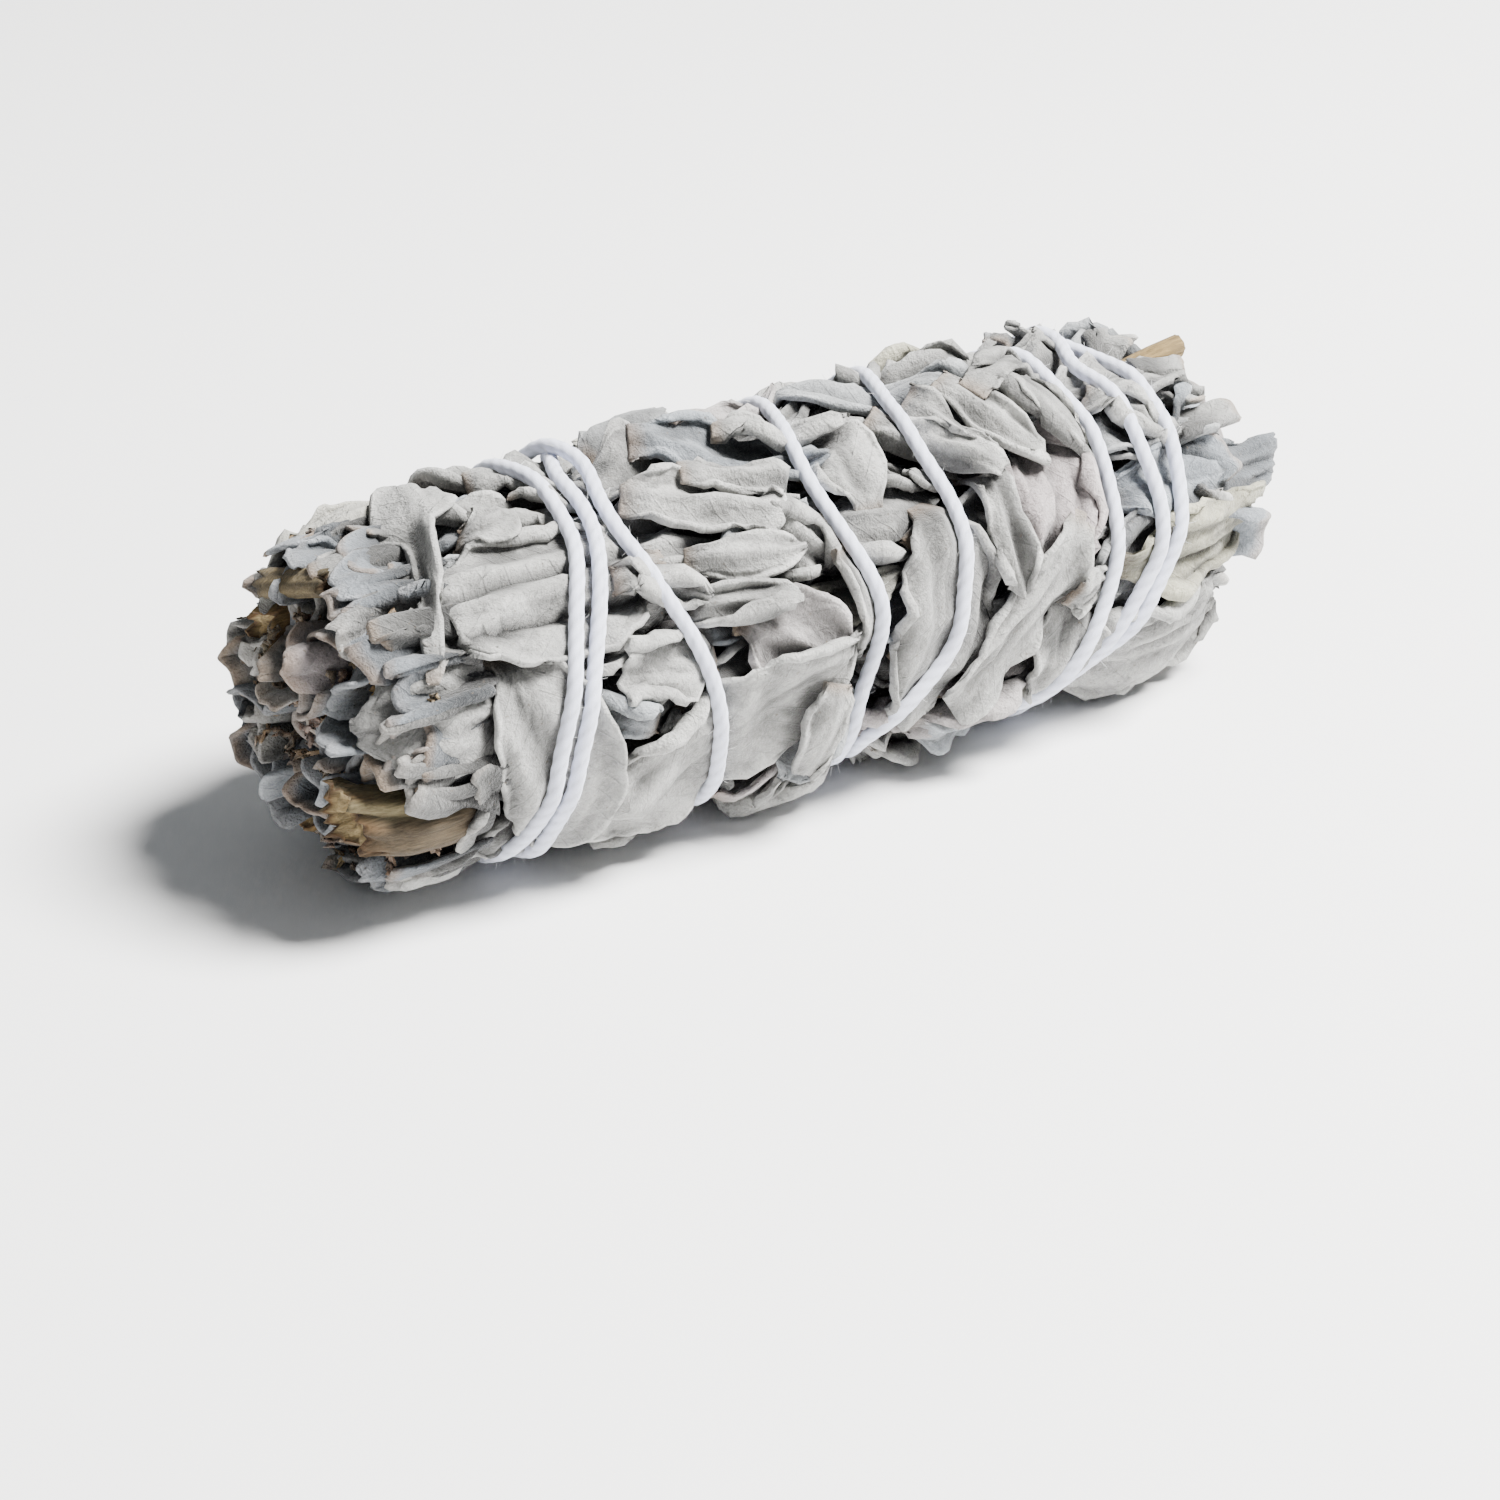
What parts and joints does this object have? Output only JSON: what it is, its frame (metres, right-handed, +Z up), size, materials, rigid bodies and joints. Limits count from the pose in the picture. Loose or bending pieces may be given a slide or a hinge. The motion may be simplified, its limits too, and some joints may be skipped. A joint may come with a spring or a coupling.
{
  "type": "smudge stick",
  "caption": "Dried white sage smudge stick: leafy sprigs packed side by side into a roll, bound with cotton string, with cut stems at one end.",
  "frame": {"origin": "under the middle of the bundle's bounding box, on the surface it lies on", "axes": "+X along the bundle from its cut stems towards its leaf tips, +Z up, -Y towards the viewer"},
  "size_m": [0.1078, 0.0424, 0.037],
  "materials": {
    "leaf": "matte felted dried leaf",
    "stem": "matte dried stem",
    "string": "matte twisted cotton"
  },
  "bodies": {
    "root": {"sprig_1_leaves": "leaf", "sprig_2_leaves": "leaf", "sprig_3_leaves": "leaf", "sprig_4_leaves": "leaf", "sprig_5_leaves": "leaf", "sprig_6_leaves": "leaf", "sprig_7_leaves": "leaf", "sprig_8_leaves": "leaf", "sprig_1_stem": "stem", "sprig_2_stem": "stem", "sprig_3_stem": "stem", "sprig_4_stem": "stem", "sprig_5_stem": "stem", "sprig_6_stem": "stem", "sprig_7_stem": "stem", "sprig_8_stem": "stem", "binding_string": "string"}
  },
  "joints": []
}
